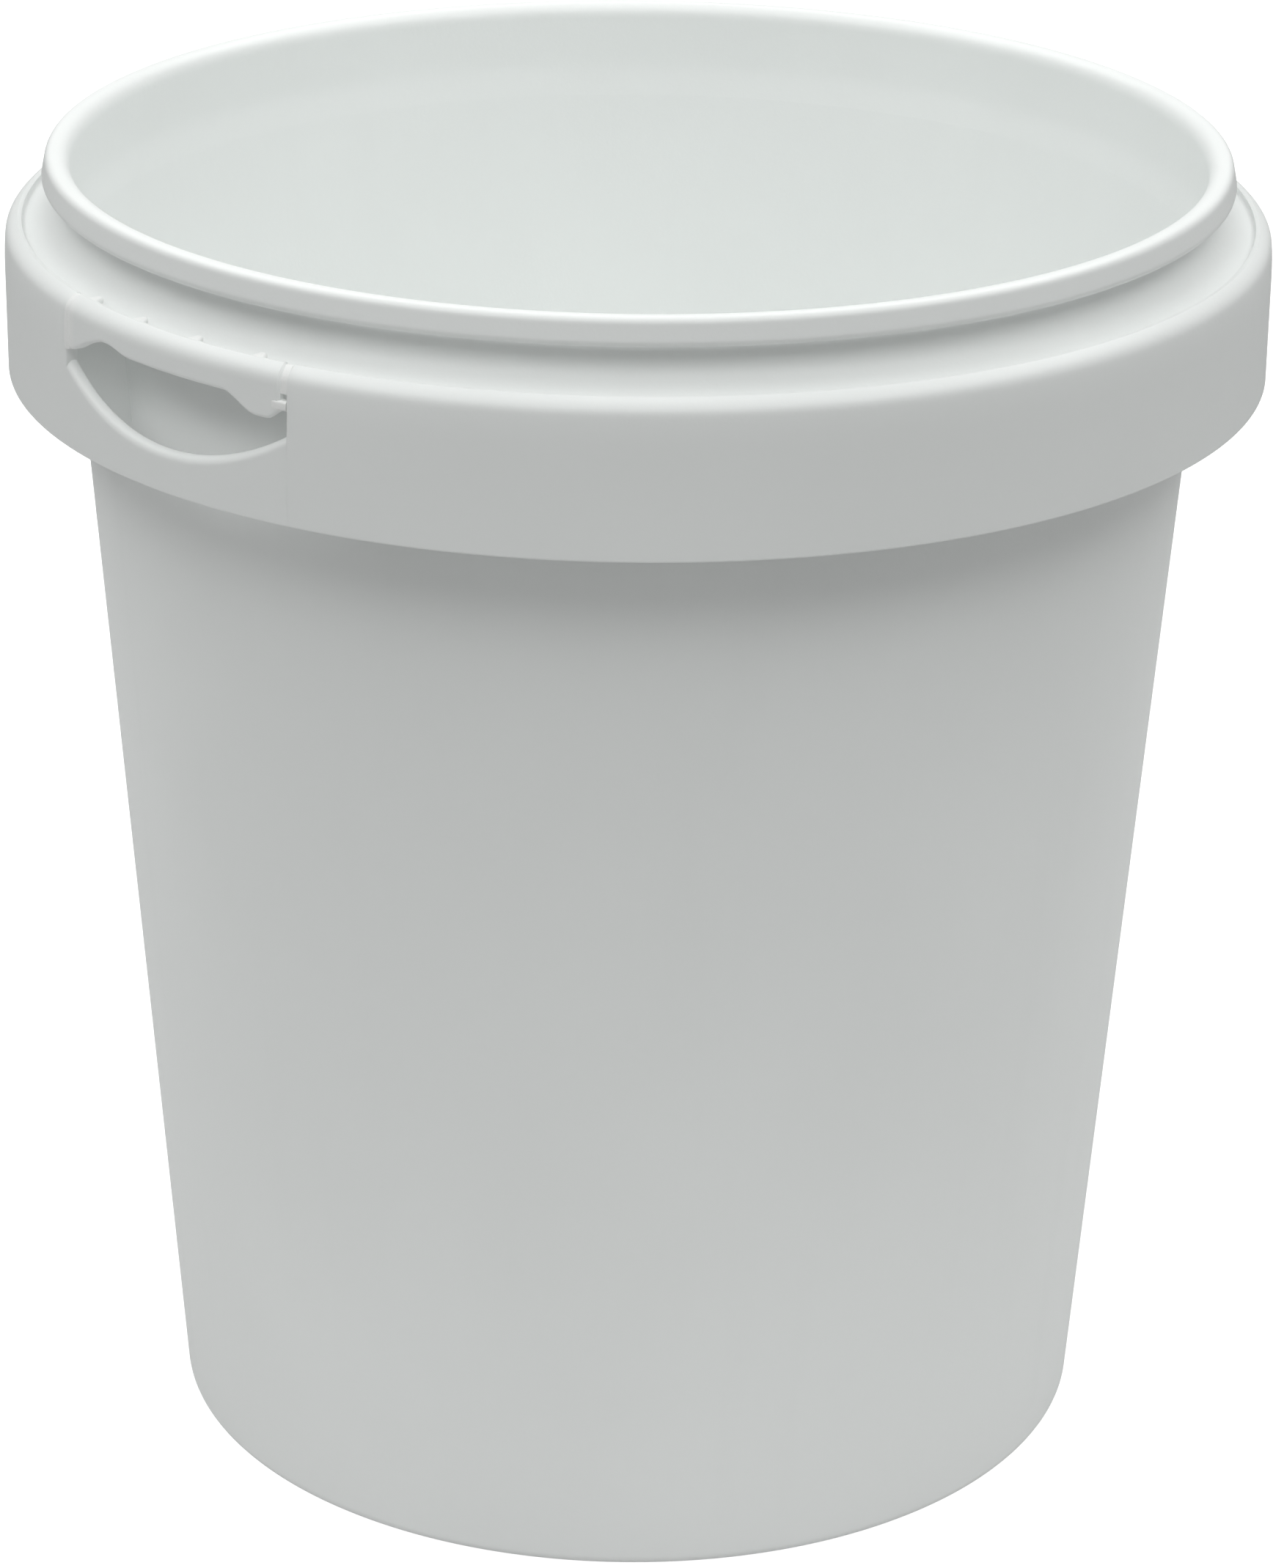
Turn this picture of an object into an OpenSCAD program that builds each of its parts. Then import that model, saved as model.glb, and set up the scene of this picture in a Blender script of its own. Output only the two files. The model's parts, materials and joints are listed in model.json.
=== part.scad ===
// Open head drum: a tapered tub with a sealing bead, a tamper evident collar and a tear tab.
// Origin at the middle of the standing face, +Z up, front of the drum towards -Y, millimetres.
// Azimuth is 0 at the front and grows to the right, seen from the front.

/* [Tub] */
// Height from the standing face to the top of the rim
total_h = 224.4; // [180:1:280]
// Outside diameter that the tapered wall would have at the standing face
base_d = 158.4; // [125:1:190]
// Outside diameter of the straight neck
neck_d = 191; // [160:1:230]
// Thickness of the tapered side wall
wall_t = 1.5; // [1:0.1:2.5]
// How far the neck stands out past the top of the tapered wall
neck_step = 0.8; // [0:0.1:1.2]

/* [Base] */
// Radius of the outer edge of the base
heel_r = 2; // [1:0.5:4]
// Width of the ring that the drum stands on
foot_w = 3.5; // [2.5:0.5:6]
// Gap under the floor
foot_drop = 1.6; // [1:0.1:3]
// Thickness of the floor
floor_t = 1.8; // [1.2:0.1:3]
// Radius between the floor and the inside of the wall
floor_fillet = 3; // [1.5:0.5:6]
// How far the base runs up the wall past that radius
foot_reach = 1; // [0.5:0.5:4]
// Diameter of the moulding gate mark under the floor
gate_d = 9; // [5:1:14]

/* [Rim] */
// Thickness of the neck
neck_t = 1.6; // [1.2:0.1:2.5]
// How far the sealing bead stands out past the neck
bead_out = 3.2; // [1.5:0.1:4]
// Height of the sealing bead
bead_h = 4.8; // [3.5:0.1:7]
// Radius of the outer top edge of the bead
bead_round = 2; // [1:0.1:2.5]
// Chamfer on the outer lower edge of the bead
bead_edge = 0.5; // [0.2:0.1:1]
// Radius of the inner top edge of the bead
rim_round = 1; // [0.5:0.1:1.2]

/* [Collar] */
// Depth of the collar lip below the top of the rim
lip_drop = 10.7; // [8:0.1:16]
// Distance from the neck to the outer face of the collar
collar_w = 9.5; // [8:0.1:14]
// Height of the collar, from its lip to its lower edge
collar_h = 25.4; // [22:0.1:36]
// Thickness of the collar skirt
skirt_t = 2; // [1.5:0.1:2.6]
// Width of the raised lip along the top of the skirt
lip_w = 3; // [2.7:0.1:4]
// Height of the lip above the web
lip_h = 1; // [0.5:0.1:2]
// Radius of the outer top edge of the collar
lip_round = 1.8; // [0.8:0.1:2]
// Thickness of the web between the neck and the skirt
web_t = 1.8; // [1.2:0.1:2.5]
// Radius between the web and the neck
web_fillet = 3.5; // [1:0.1:4]
// How far the neck reaches down below the collar lip
neck_root = 6; // [4:0.5:10]

/* [Ribs] */
// Number of gaps between ribs, outside the tear tab
rib_gaps = 28; // [12:1:40]
// Thickness of a rib
rib_t = 1.2; // [0.8:0.1:2]
// Distance from the lower edge of the skirt up to the ribs
rib_rise = 2; // [1:0.5:8]
// Distance from the end of the tear tab's cut-out to the middle of the next rib
rib_inset = 2; // [1:0.5:6]

/* [Tear tab] */
// Azimuth of the middle of the tear tab
tab_az = -44.5; // [-60:0.5:60]
// Width of the cut-out in the collar, along its outer face
tab_w = 52.4; // [35:0.2:70]
// Depth of the finger opening's lowest point below the collar lip
opening_low = 18.5; // [14:0.5:20]
// Radius of the finger opening's lower edge
opening_r = 48; // [40:1:80]
// Depth of the strip's middle below the collar lip
strip_h = 5.8; // [4:0.1:8]
// Depth of the strip's two legs below the collar lip
leg_h = 8.7; // [6:0.1:10]
// Width of each leg
leg_w = 6.6; // [4:0.2:10]
// Radius where a leg runs into the strip
leg_round = 2.2; // [1:0.1:2.8]
// Width of the score groove at the hinge end of the strip
hinge_gap = 0.7; // [0.5:0.1:1.2]
// Width of the gap at the free end of the strip
end_gap = 1.3; // [0.8:0.1:2]
// Width of the slot between the strip and the web
slot_w = 0.8; // [0.5:0.1:1.5]
// Number of thin bridges along the top of the strip
bridge_count = 4; // [2:1:6]
// Width of a bridge along the strip
bridge_w = 2.8; // [1.5:0.1:4]
// From the strip's free end to the nearest bridge, as a share of the bridges' spacing
bridge_start = 0.43; // [0.2:0.01:1]
// From the hinge end to the nearest bridge, as a share of the bridges' spacing
bridge_stop = 0.27; // [0.2:0.01:1]
// How far a bridge reaches past the slot, over the web
bridge_reach = 0.6; // [0.3:0.1:1]
// Height of the bridge across the gap at the strip's free end
end_bridge_h = 2; // [1:0.1:3]
// Share of the skirt's thickness that this bridge takes up, from the outer face inwards
end_bridge_deep = 0.8; // [0.4:0.1:1]
// Torn gap that is left at the tip of each bridge
bridge_clear = 0.1; // [0.1:0.05:0.3]

/* [Hidden] */
$fn = 180;
white = [0.9, 0.91, 0.905];
shade = [0.82, 0.84, 0.83];
strip_colour = [0.95, 0.93, 0.88];
over = 1;                                    // how far a cutter runs past what it cuts

base_r = base_d / 2;
neck_r = neck_d / 2;
neck_in_r = neck_r - neck_t;
bead_r = neck_r + bead_out;
bead_z = total_h - bead_h;
lip_z = total_h - lip_drop;
web_z = lip_z - lip_h;
web_low_z = web_z - web_t;
neck_z = lip_z - neck_root;
skirt_z = lip_z - collar_h;
collar_r = neck_r + collar_w;
skirt_in_r = collar_r - skirt_t;
lip_in_r = collar_r - lip_w;

// Outer radius of the tapered wall at height z
taper = (neck_r - neck_step - base_r) / neck_z;
function wall_r(z) = base_r + taper * z;
taper_deg = atan(taper);

heel_c = base_r + taper * heel_r - heel_r * sqrt(1 + taper * taper);
foot_in_r = heel_c - foot_w;
floor_z = foot_drop + floor_t;
fillet_z = floor_z + floor_fillet;
fillet_c = wall_r(fillet_z) - wall_t - floor_fillet * sqrt(1 + taper * taper);
foot_h = fillet_z + foot_reach;

function degrees_at(w, r) = w / r * 180 / PI;
zone_half = degrees_at(tab_w, collar_r) / 2;
zone_a = tab_az - zone_half;
zone_b = tab_az + zone_half;
tab_a = zone_a + degrees_at(hinge_gap, collar_r);
tab_b = zone_b - degrees_at(end_gap, collar_r);
rib_a = zone_a - degrees_at(rib_inset, collar_r);
rib_b = zone_b + degrees_at(rib_inset, collar_r);
rib_pitch = (360 - (rib_b - rib_a)) / rib_gaps;
opening_z = lip_z - opening_low;
opening_side = opening_low - opening_r + sqrt(pow(opening_r, 2) - pow(collar_r * sin(zone_half), 2));
leg_low_z = lip_z - min(leg_h, opening_side - hinge_gap);    // the legs stay clear of the opening's edge
slot_r = lip_in_r - slot_w;
hinge_az = (zone_a + tab_a) / 2;
hinge_r = collar_r - hinge_gap / 2;
hinge_d = hinge_gap * hinge_r / collar_r;    // as wide as the groove is at its own radius
hinge_top = lip_z - lip_round;
bridge_pitch = (tab_b - tab_a) / (bridge_count - 1 + bridge_start + bridge_stop);
arch_w = tab_w - hinge_gap - end_gap - 2 * leg_w;
arch_mid = (hinge_gap - end_gap) / 2;

// Points along an arc about (x, y), from angle a to angle b
function arc(x, y, r, a, b, n = 8) = [for (i = [0:n]) let (t = a + (b - a) * i / n) [x + r * cos(t), y + r * sin(t)]];

// A profile turned from azimuth a to azimuth b
module sector(a, b) rotate([0, 0, a - 90]) rotate_extrude(angle = b - a) children();

// A flat outline pushed outwards through the collar at the middle of the tear tab
module through_collar() {
    rotate([0, 0, tab_az]) translate([0, over - neck_r, 0])
        rotate([90, 0, 0]) linear_extrude(collar_w + 2 * over) children();
}

// Tapered side wall
module side_wall() {
    color(white) rotate_extrude() polygon([
        [wall_r(foot_h) - wall_t, foot_h], [wall_r(foot_h), foot_h],
        [wall_r(neck_z), neck_z], [wall_r(neck_z) - wall_t, neck_z]]);
}

// Heel and standing ring, with the radius up to the wall inside
module foot_ring() {
    color(white) rotate_extrude() polygon(concat(
        [[foot_in_r, 0]],
        arc(heel_c, heel_r, heel_r, -90, -taper_deg),
        [[wall_r(foot_h), foot_h], [wall_r(foot_h) - wall_t, foot_h]],
        arc(fillet_c, fillet_z, floor_fillet, -taper_deg, -90),
        [[foot_in_r, floor_z]]));
}

// Floor, held clear of the ground by the foot ring
module floor_pan() {
    color(shade) translate([0, 0, foot_drop]) cylinder(r = foot_in_r, h = floor_t);
}

// Low boss left by the moulding gate under the floor
module gate_mark() {
    color(shade) translate([0, 0, foot_drop / 2]) cylinder(d = gate_d, h = foot_drop / 2);
}

// Straight neck between the tapered wall and the bead
module neck() {
    color(white) rotate_extrude() polygon([
        [neck_in_r, bead_z], [neck_r, bead_z], [neck_r, neck_z],
        [wall_r(neck_z) - wall_t, neck_z], [neck_in_r, neck_z + neck_step]]);
}

// Bead that the lid is pressed over
module sealing_bead() {
    color(white) rotate_extrude() polygon(concat(
        [[neck_in_r, bead_z], [bead_r - bead_edge, bead_z], [bead_r, bead_z + bead_edge]],
        arc(bead_r - bead_round, total_h - bead_round, bead_round, 0, 90),
        arc(neck_in_r + rim_round, total_h - rim_round, rim_round, 90, 180)));
}

// Web between the neck and the skirt, slotted along the tear tab
module collar_web() {
    color(white) difference() {
        rotate_extrude() polygon(concat(
            [[neck_r, web_low_z], [lip_in_r, web_low_z], [lip_in_r, web_z]],
            arc(neck_r + web_fillet, web_z + web_fillet, web_fillet, -90, -180)));
        sector(zone_a, zone_b) translate([slot_r, web_low_z - over])
            square([lip_w, web_t + 2 * over]);
    }
}

// Section through the collar's lip and skirt, down to height z
module collar_section(z) {
    polygon(concat(
        [[skirt_in_r, z], [collar_r, z]],
        arc(collar_r - lip_round, lip_z - lip_round, lip_round, 0, 90),
        [[lip_in_r, lip_z], [lip_in_r, web_low_z], [skirt_in_r, web_low_z]]));
}

// Skirt with its raised lip and the half moon finger opening
module collar_skirt() {
    color(white) difference() {
        rotate_extrude() collar_section(skirt_z);
        intersection() {
            sector(zone_a, zone_b) translate([lip_in_r - over, opening_z - over])
                square([lip_w + 2 * over, opening_low + 2 * over]);
            through_collar() translate([0, opening_z + opening_r]) circle(opening_r);
        }
    }
}

// One stiffening rib between the tapered wall and the skirt
module rib(az) {
    low = skirt_z + rib_rise;
    half = degrees_at(rib_t, skirt_in_r) / 2;
    sector(az - half, az + half) polygon([
        [wall_r(low), low], [skirt_in_r, low], [skirt_in_r, web_low_z], [neck_r, web_low_z],
        [neck_r, neck_z], [wall_r(neck_z), neck_z]]);
}

// Ribs all round under the web, left out behind the tear tab
module collar_ribs() {
    color(shade) for (i = [0:rib_gaps]) rib(rib_b + i * rib_pitch);
}

// Film hinge in the score groove; the strip turns about the collar's outer face just outside it
module hinge_film() {
    color(strip_colour) rotate([0, 0, hinge_az]) translate([0, -hinge_r, leg_low_z])
        cylinder(d = hinge_d, h = hinge_top - leg_low_z);
}

// Outline of the arch under the strip, with rounded upper corners
module arch_outline() {
    translate([arch_mid, lip_z - strip_h]) {
        translate([-arch_w / 2, -opening_low]) square([arch_w, opening_low - leg_round]);
        translate([leg_round - arch_w / 2, -opening_low])
            square([arch_w - 2 * leg_round, opening_low]);
        for (s = [-1, 1]) translate([s * (arch_w / 2 - leg_round), -leg_round]) circle(leg_round);
    }
}

// Strip that is pulled outwards and torn off
module tear_tab() {
    color(strip_colour) difference() {
        sector(tab_a, tab_b) collar_section(leg_low_z);
        through_collar() arch_outline();
    }
}

// Thin bridges from the strip's lip to the web
module top_bridges() {
    tip_r = slot_r - bridge_reach;
    low = web_z + bridge_clear;
    half = degrees_at(bridge_w, lip_in_r) / 2;
    color(strip_colour) for (i = [0:bridge_count - 1]) {
        az = tab_b - (i + bridge_start) * bridge_pitch;
        sector(az - half, az + half) polygon([
            [tip_r, low], [lip_in_r, low], [lip_in_r, lip_z - bridge_clear], [tip_r, (low + lip_z) / 2]]);
    }
}

// Bridge across the gap at the strip's free end
module end_bridge() {
    mid = (lip_z - strip_h + leg_low_z + end_bridge_h) / 2;
    color(strip_colour) sector(tab_b, zone_b - degrees_at(bridge_clear, collar_r))
        translate([collar_r - skirt_t * end_bridge_deep, mid - end_bridge_h / 2])
            square([skirt_t * end_bridge_deep, end_bridge_h]);
}

side_wall();
foot_ring();
floor_pan();
gate_mark();
neck();
sealing_bead();
collar_web();
collar_skirt();
collar_ribs();
hinge_film();
tear_tab();
top_bridges();
end_bridge();
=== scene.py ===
import bmesh
import bpy
import json
import math
from mathutils import Matrix, Vector

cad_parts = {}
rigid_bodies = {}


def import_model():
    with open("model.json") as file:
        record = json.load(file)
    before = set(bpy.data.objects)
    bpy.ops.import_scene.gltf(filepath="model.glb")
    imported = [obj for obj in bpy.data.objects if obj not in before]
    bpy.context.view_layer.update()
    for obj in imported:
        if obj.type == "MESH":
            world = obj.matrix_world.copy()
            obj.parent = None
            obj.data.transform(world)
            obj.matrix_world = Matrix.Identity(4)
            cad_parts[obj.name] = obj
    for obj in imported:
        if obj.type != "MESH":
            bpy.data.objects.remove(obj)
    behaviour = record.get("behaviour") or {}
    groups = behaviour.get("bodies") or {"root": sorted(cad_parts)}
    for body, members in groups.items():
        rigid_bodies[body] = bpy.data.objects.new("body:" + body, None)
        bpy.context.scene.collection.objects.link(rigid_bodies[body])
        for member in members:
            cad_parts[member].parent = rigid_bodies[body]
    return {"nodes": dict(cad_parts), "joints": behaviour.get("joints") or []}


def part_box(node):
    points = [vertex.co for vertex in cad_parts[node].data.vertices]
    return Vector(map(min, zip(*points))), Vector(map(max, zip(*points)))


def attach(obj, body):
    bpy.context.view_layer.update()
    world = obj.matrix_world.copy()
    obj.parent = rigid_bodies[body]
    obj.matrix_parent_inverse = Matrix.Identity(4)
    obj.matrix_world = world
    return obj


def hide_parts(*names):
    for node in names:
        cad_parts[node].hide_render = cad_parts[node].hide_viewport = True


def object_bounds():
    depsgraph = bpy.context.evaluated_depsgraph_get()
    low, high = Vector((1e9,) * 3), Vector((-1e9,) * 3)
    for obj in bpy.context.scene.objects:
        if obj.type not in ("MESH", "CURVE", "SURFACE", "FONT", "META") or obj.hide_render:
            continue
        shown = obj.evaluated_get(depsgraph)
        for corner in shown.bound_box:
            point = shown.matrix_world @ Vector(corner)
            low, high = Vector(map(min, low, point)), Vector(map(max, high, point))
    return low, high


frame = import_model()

CAD_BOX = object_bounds()

bl_info = {
    "name": "Open Head Drum",
    "version": (1, 0, 0),
    "blender": (4, 5, 0),
    "location": "View3D > Sidebar > Drum",
    "description": "Builds the finish of a moulded open head drum around its packed frame",
    "category": "Add Mesh",
}

MM = 0.001
TUB = "tub"
STRIP = "tear_strip"


# Measures taken from the frame

def azimuth(point):
    """Angle round the drum's axis, 0 at the front and growing to the right, in radians."""
    return math.atan2(point[0], -point[1])


def points_of(node):
    return [v.co for v in frame["nodes"][node].data.vertices]


def radii_at(node, height):
    """Smallest and largest distance from the axis of a node's points at one height."""
    found = [p.xy.length for p in points_of(node) if abs(p.z - height) < 0.02 * MM]
    return min(found), max(found)


class Drum:
    """The drum's own sizes, read once from the frame's nodes, in metres and radians."""

    def __init__(self):
        low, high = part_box("side_wall")
        self.wall_low, self.wall_high = low.z, high.z
        self.wall_in_low, self.wall_out_low = radii_at("side_wall", low.z)
        self.wall_in_high, self.wall_out_high = radii_at("side_wall", high.z)
        self.taper = (self.wall_out_high - self.wall_out_low) / (high.z - low.z)
        self.foot_in = radii_at("foot_ring", 0)[0]
        self.floor_low, self.floor_top = (corner.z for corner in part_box("floor_pan"))
        self.gate_low, self.gate_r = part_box("gate_mark")[0].z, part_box("gate_mark")[1].x
        self.bead_low, self.top = (corner.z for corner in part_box("sealing_bead"))
        self.neck_in, self.neck_r = radii_at("neck", self.bead_low)
        self.bead_r = max(p.xy.length for p in points_of("sealing_bead"))
        self.skirt_low, self.lip_top = (corner.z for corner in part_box("collar_skirt"))
        self.skirt_in, self.collar_r = radii_at("collar_skirt", self.skirt_low)
        self.lip_in = radii_at("collar_skirt", self.lip_top)[0]
        self.web_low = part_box("collar_web")[0].z
        rim_of_web = [p for p in points_of("collar_web") if p.xy.length > self.lip_in - 0.02 * MM]
        self.web_top = max(p.z for p in rim_of_web)
        strip = points_of("tear_tab")
        self.strip_a, self.strip_b = min(map(azimuth, strip)), max(map(azimuth, strip))
        self.leg_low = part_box("tear_tab")[0].z
        self.hinge = Vector(frame["joints"][0]["pos_m"])
        self.zone_a = 2 * azimuth(self.hinge) - self.strip_a
        self.zone_b = max(map(azimuth, points_of("end_bridge"))) + 0.1 * MM / self.collar_r
        self.zone_mid = (self.zone_a + self.zone_b) / 2
        inside = [p for p in points_of("collar_web") if self.zone_a + 0.1 < azimuth(p) < self.zone_b - 0.1]
        self.slot_r = max(p.xy.length for p in inside)
        self.film_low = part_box("hinge_film")[0].z
        self.rib_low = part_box("collar_ribs")[0].z

    def wall_out(self, height):
        return self.wall_out_low + self.taper * (height - self.wall_low)

    def wall_in(self, height):
        return self.wall_in_low + self.taper * (height - self.wall_low)


drum = Drum()


# Settings that a user would change

class DrumSizes(bpy.types.PropertyGroup):
    """Sizes of the moulding's finish."""
    turns: bpy.props.IntProperty(
        name="Turned faces", description="Faces round a turned piece", default=288, min=48)
    edge: bpy.props.FloatProperty(
        name="Edge radius", description="Radius of the mould's small edges",
        default=0.35 * MM, unit="LENGTH")
    heel: bpy.props.FloatProperty(
        name="Heel radius", description="Radius between the wall and the standing face",
        default=2.0 * MM, unit="LENGTH")
    floor_fillet: bpy.props.FloatProperty(
        name="Floor fillet", description="Radius between the floor and the inside of the wall",
        default=3.0 * MM, unit="LENGTH")
    lip_turn: bpy.props.FloatProperty(
        name="Lip curve", description="Height of the tight curve over the collar's lip",
        default=2.9 * MM, unit="LENGTH")
    crown: bpy.props.FloatProperty(
        name="Crown", description="Height over which the skirt leans in towards the lip",
        default=7.5 * MM, unit="LENGTH")
    crown_depth: bpy.props.FloatProperty(
        name="Crown depth", description="How far the skirt leans in", default=0.55 * MM, unit="LENGTH")
    bead_curve: bpy.props.FloatProperty(
        name="Bead radius", description="Radius over the outer top edge of the bead",
        default=1.35 * MM, unit="LENGTH")
    mouth_curve: bpy.props.FloatProperty(
        name="Mouth radius", description="Radius over the inner top edge of the bead",
        default=2.4 * MM, unit="LENGTH")
    bead_lean: bpy.props.FloatProperty(
        name="Bead lean", description="How far the bead's face leans in towards its top",
        default=0.9 * MM, unit="LENGTH")
    neck_curve: bpy.props.FloatProperty(
        name="Neck curve", description="Radius between the neck and the collar's web",
        default=4.9 * MM, unit="LENGTH")
    opening_depth: bpy.props.FloatProperty(
        name="Opening depth", description="Lowest point of the finger opening below the lip",
        default=18.5 * MM, unit="LENGTH")
    opening_radius: bpy.props.FloatProperty(
        name="Opening radius", description="Radius of the finger opening's lower edge",
        default=48.0 * MM, unit="LENGTH")
    strip_depth: bpy.props.FloatProperty(
        name="Strip depth", description="Depth of the tear strip between its legs",
        default=5.8 * MM, unit="LENGTH")
    leg_width: bpy.props.FloatProperty(
        name="Leg width", description="Width of the strip's two legs",
        default=6.6 * MM, unit="LENGTH")
    rib_count: bpy.props.IntProperty(
        name="Ribs", description="Number of ribs under the collar", default=29, min=3)
    rib_inset: bpy.props.FloatProperty(
        name="Rib inset", description="From the strip's cut-out to the next rib",
        default=2.0 * MM, unit="LENGTH")
    rib_thickness: bpy.props.FloatProperty(
        name="Rib thickness", description="Thickness of a rib", default=1.2 * MM, unit="LENGTH")
    bridge_count: bpy.props.IntProperty(
        name="Bridges", description="Thin bridges along the strip", default=4, min=1)
    bridge_width: bpy.props.FloatProperty(
        name="Bridge width", description="Width of a thin bridge", default=2.8 * MM, unit="LENGTH")


class DrumFinish(bpy.types.PropertyGroup):
    """Colour and gloss of the plastic."""
    white: bpy.props.FloatVectorProperty(
        name="Plastic", description="Colour of the moulding", subtype="COLOR", size=3,
        default=(0.89, 0.903, 0.897))
    # Whiter plastic where it is bent or torn: stress whitening, and on the bridges and the hinge line also
    # a painted highlight
    stressed_and_highlight: bpy.props.FloatVectorProperty(
        name="Stressed plastic", description="Colour where the plastic is bent or torn",
        subtype="COLOR", size=3, default=(0.97, 0.972, 0.965))
    roughness: bpy.props.FloatProperty(
        name="Roughness", description="Roughness of the satin faces", default=0.42, min=0, max=1)


class DrumStage(bpy.types.PropertyGroup):
    """Light, floor and camera."""
    key_power: bpy.props.FloatProperty(
        name="Overhead light", description="Power of the soft light above", default=1.8, unit="POWER")
    mouth_power: bpy.props.FloatProperty(
        name="Mouth light", description="Power of the narrow light into the tub", default=7.0, unit="POWER")
    sky_top: bpy.props.FloatProperty(
        name="Overhead", description="Brightness straight above", default=0.45, min=0)
    sky_band: bpy.props.FloatProperty(
        name="Band", description="Brightness of the band half way up", default=2.45, min=0)
    sky_low: bpy.props.FloatProperty(
        name="Low sky", description="Brightness just above the horizon", default=0.3, min=0)
    sky_behind: bpy.props.FloatProperty(
        name="Backdrop", description="Brightness just above the horizon behind the drum",
        default=0.55, min=0)
    sky_below: bpy.props.FloatProperty(
        name="Below", description="Brightness below the horizon, past the floor", default=0.12, min=0)
    floor_glow: bpy.props.FloatProperty(
        name="Floor glow", description="Light that the floor gives off", default=0.17, min=0)
    floor_seen: bpy.props.FloatProperty(
        name="Floor seen", description="The same light as the camera sees it", default=0.93, min=0)
    tint: bpy.props.FloatVectorProperty(
        name="Light tint", description="Colour of all the light", subtype="COLOR", size=3,
        default=(0.985, 1.0, 0.99))
    lens: bpy.props.FloatProperty(
        name="Lens", description="Focal length on a 36 mm frame", default=119.75)


# Outlines

def corner_arc(before, here, after, turn, step):
    """Points of the arc that replaces one corner, or the corner itself."""
    if turn <= 0:
        return [here]
    back = (before - here).normalized()
    ahead = (after - here).normalized()
    half = back.angle(ahead) / 2
    centre = here + (back + ahead).normalized() * turn / math.sin(half)
    start = here + back * turn / math.tan(half) - centre
    sweep = start.angle_signed(here + ahead * turn / math.tan(half) - centre)
    steps = max(2, round(abs(sweep) / step))
    arc = []
    for k in range(steps + 1):
        cos, sin = math.cos(-sweep * k / steps), math.sin(-sweep * k / steps)
        arc.append(centre + Vector((start.x * cos - start.y * sin, start.x * sin + start.y * cos)))
    return arc


def rounded(corners, closed=True, step=math.radians(11.25), hold=0):
    """Outline through (radius, height, rounding) corners, each turned into an arc.

    With a hold, the straight run beside an arc gets a point that far from each end.
    """
    count = len(corners)
    spots = [Vector(corner[:2]) for corner in corners]
    turns = [0 if not closed and i in (0, count - 1) else corners[i][2] for i in range(count)]
    arcs = [corner_arc(spots[i - 1], spots[i], spots[(i + 1) % count], turns[i], step)
            for i in range(count)]
    points = []
    for i, arc in enumerate(arcs):
        points += arc
        following = (i + 1) % count
        if hold and (turns[i] or turns[following]):
            run = arcs[following][0] - arc[-1]
            inset = run * min(1 / 3, hold / max(run.length, 0.001 * MM))
            points += [arc[-1] + inset, arcs[following][0] - inset]
    return points


def spaced(points, closed=True, hold=0.3 * MM, gap=9 * MM):
    """Adds points along the straight runs: one close to each end, and more along a long run."""
    result = []
    count = len(points)
    for i, here in enumerate(points):
        result.append(here)
        if i == count - 1 and not closed:
            break
        run = points[(i + 1) % count] - here
        if run.length < 4 * hold:
            continue
        steps = max(1, math.ceil((run.length - 2 * hold) / gap))
        for k in range(steps + 1):
            result.append(here + run.normalized() * (hold + (run.length - 2 * hold) * k / steps))
    return result


# Meshes

def link(name, mesh):
    piece = bpy.data.objects.new(name, mesh)
    bpy.context.scene.collection.objects.link(piece)
    return piece


def finish_mesh(mesh, sharp=math.radians(38)):
    """Joins doubles, turns the faces outwards and shades smooth between sharp edges."""
    bm = bmesh.new()
    bm.from_mesh(mesh)
    bmesh.ops.remove_doubles(bm, verts=bm.verts, dist=0.002 * MM)
    bmesh.ops.dissolve_degenerate(bm, edges=bm.edges, dist=0.001 * MM)
    bmesh.ops.delete(bm, geom=[e for e in bm.edges if not e.link_faces], context="EDGES")
    bmesh.ops.recalc_face_normals(bm, faces=bm.faces)
    bm.to_mesh(mesh)
    bm.free()
    mesh.shade_smooth()
    mesh.set_sharp_from_angle(angle=sharp)


def sweep_columns(bm, profile_at, angles, closed=False):
    """A closed outline swept round the axis, with its own shape at each azimuth."""
    columns = []
    for angle in angles:
        out = (math.sin(angle), -math.cos(angle))
        columns.append([bm.verts.new((r * out[0], r * out[1], z)) for r, z in profile_at(angle)])
    pairs = list(zip(columns, columns[1:]))
    if closed:
        pairs.append((columns[-1], columns[0]))
    for left, right in pairs:
        for j in range(len(left)):
            k = (j + 1) % len(left)
            bm.faces.new((left[j], right[j], right[k], left[k]))
    if not closed:
        bm.faces.new(columns[0])
        bm.faces.new(list(reversed(columns[-1])))


def piece_from(name, bm, material):
    mesh = bpy.data.meshes.new(name)
    bm.to_mesh(mesh)
    bm.free()
    finish_mesh(mesh)
    mesh.materials.append(material)
    return link(name, mesh)


def evenly(first, last, spacing, radius):
    """Azimuths from first to last, about one spacing apart at a radius."""
    steps = max(1, round(abs(last - first) * radius / spacing))
    return [first + (last - first) * k / steps for k in range(steps + 1)]


# Geometry node trees

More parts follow.
